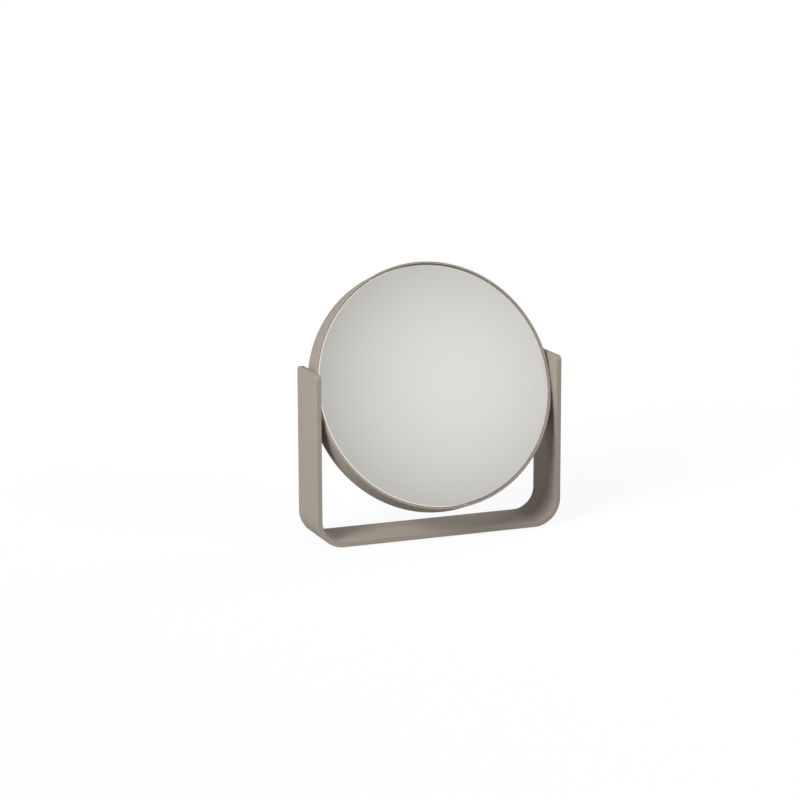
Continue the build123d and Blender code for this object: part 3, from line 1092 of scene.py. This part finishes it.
def hang_glow_card():
    """A soft round glow, which the flat mirror shows from where the photograph was taken."""
    face_out = hang.to_3x3() @ Vector((0, 0, 1))
    face_middle = hang @ Vector((0, 0, turned_size("plain_mirror_glass")[3]))
    look = (face_middle - camera_matrix().to_translation()).normalized()
    back = look - 2 * look.dot(face_out) * face_out
    right = Vector((0, 0, 1)).cross(back).normalized()

    distance = 0.38             # from the middle of the mirror
    hot_spot = 0.0203           # how far to the right the glow is brightest
    radius, fade_width = 0.20, 0.05
    brightest, dimmest = 0.823, 0.15
    falloff = 0.231             # how far from its middle the glow is less by one
    mesh = bpy.data.meshes.new("glow_card")
    disc = bmesh.new()
    bmesh.ops.create_circle(disc, cap_ends=True, radius=radius, segments=96)
    disc.to_mesh(mesh)
    disc.free()
    card = new_piece("glow_card", mesh)
    card.matrix_world = (Matrix.Translation(face_middle + back * distance + right * hot_spot)
                         @ back.to_track_quat("Z", "Y").to_matrix().to_4x4())
    tree, place = empty_material(mesh, "glow_card")
    from_middle = put(
        tree, "ShaderNodeVectorMath", {0: place}, operation="LENGTH").outputs["Value"]
    squared = maths(tree, "MULTIPLY", from_middle, from_middle)
    glow = maths(tree, "MULTIPLY_ADD", squared, -1.0 / falloff ** 2, brightest)
    glow = maths(tree, "MAXIMUM", glow, dimmest)
    tone = mixed_colour(tree, glow, (0.919, 0.933, 0.868), (0.988, 0.963, 0.947))
    inside = maths(tree, "SUBTRACT", radius, from_middle)
    cover = maths(tree, "MINIMUM", maths(tree, "DIVIDE", inside, fade_width), 1.0)
    end_card(tree, tone, glow, cover)
    only_in_reflections(card)


def hang_bevel_glow_band():
    """A narrow glowing band close round the hoop, seen only in reflections, which the bevel shows
    as a painted reflection: painted dark at the right, painted pale at the left.
    """
    depth = 0.0055
    radius = (turned_size("mirror_hoop")[0] + post_face) / 2    # clear of the hoop and the posts
    middle = math.radians(8)        # where the painted dark reflection is centred
    half_turn, soft = math.radians(92), math.radians(10)        # its half width, and its ends
    # painted reflections for the bevel: a pale glow at the left, near-black at the right
    painted_pale_reflection, painted_dark_reflection = (0.95, 0.90, 0.80), (0.03, 0.03, 0.028)
    face = turned_size("plain_mirror_glass")[3]
    mesh = lathe("bevel_collar", [(radius, face), (radius, face + depth)], round_steps)
    reflection_band = new_piece("bevel_collar", mesh)
    reflection_band.matrix_world = hang
    tree, place = empty_material(mesh, "bevel_collar")
    flat = put(tree, "ShaderNodeVectorMath", {
        0: place, 1: (1.0, 1.0, 0.0)}, operation="MULTIPLY")
    spot = put(tree, "ShaderNodeVectorMath", {0: flat.outputs[0]}, operation="NORMALIZE")
    towards = put(tree, "ShaderNodeVectorMath", {
        0: spot.outputs[0], 1: (math.cos(middle), math.sin(middle), 0.0)},
        operation="DOT_PRODUCT").outputs["Value"]
    # where the band paints the dark reflection, soft at its ends
    dark = put(tree, "ShaderNodeMapRange", {
        "Value": towards, "From Min": math.cos(half_turn + soft),
        "From Max": math.cos(half_turn - soft)}, interpolation_type="SMOOTHSTEP").outputs["Result"]
    end_card(tree, mixed_colour(tree, dark, painted_pale_reflection, painted_dark_reflection), 1.0, 1.0)
    only_in_reflections(reflection_band)


def hang_post_reflection_glow():
    """A pale glowing card against the inner face of the right post, in front of the mirror's edge,
    seen only in reflections: a painted pale reflection in place of the post's face.
    """
    gap, strength = 0.0001, 0.66
    x, front, back = post_face - gap, stand_low.y, -0.001
    low, high = 0.086, stand_high.z
    mesh = bpy.data.meshes.new("post_card")
    mesh.from_pydata([(x, front, low), (x, back, low), (x, back, high), (x, front, high)],
                     [], [(0, 1, 2, 3)])
    card = new_piece("post_card", mesh)
    tree = empty_material(mesh, "post_card")[0]
    # painted reflection: a pale glow where gloss and the mirror's edge would show the post's own
    # face
    end_card(tree, (1.0, 0.99, 0.965), strength, 1.0)
    only_in_reflections(card)


# =====================================================================================
# Panel, registration and the run
# =====================================================================================
class MIRROR_PT_table_mirror(bpy.types.Panel):
    """Lists the settings and the steps"""

    bl_idname = "MIRROR_PT_table_mirror"
    bl_label = "Table Mirror"
    bl_space_type = "VIEW_3D"
    bl_region_type = "UI"
    bl_category = "Table Mirror"

    def draw(self, context):
        layout = self.layout
        for group in (context.scene.mirror_stand, context.scene.mirror_head,
                      context.scene.mirror_studio):
            box = layout.box()
            for name in group.__annotations__:
                box.prop(group, name)
        for operator in operators:
            layout.operator(operator.bl_idname)


operators = (
    MIRROR_OT_stand_bar, MIRROR_OT_base_pad, MIRROR_OT_hoop, MIRROR_OT_flat_mirror,
    MIRROR_OT_magnifying_mirror, MIRROR_OT_foam, MIRROR_OT_core_screws,
    MIRROR_OT_inner_parts, MIRROR_OT_studio,
)
classes = (StandSettings, HeadSettings, StudioSettings, *operators, MIRROR_PT_table_mirror)


def register():
    for each in classes:
        bpy.utils.register_class(each)
    bpy.types.Scene.mirror_stand = PointerProperty(type=StandSettings)
    bpy.types.Scene.mirror_head = PointerProperty(type=HeadSettings)
    bpy.types.Scene.mirror_studio = PointerProperty(type=StudioSettings)


def unregister():
    del bpy.types.Scene.mirror_studio
    del bpy.types.Scene.mirror_head
    del bpy.types.Scene.mirror_stand
    for each in reversed(classes):
        bpy.utils.unregister_class(each)


def main():
    """Build every piece and the studio."""
    register()
    for operator in operators:
        getattr(bpy.ops.table_mirror, operator.bl_idname.split(".")[1])()


if __name__ == "__main__":
    main()
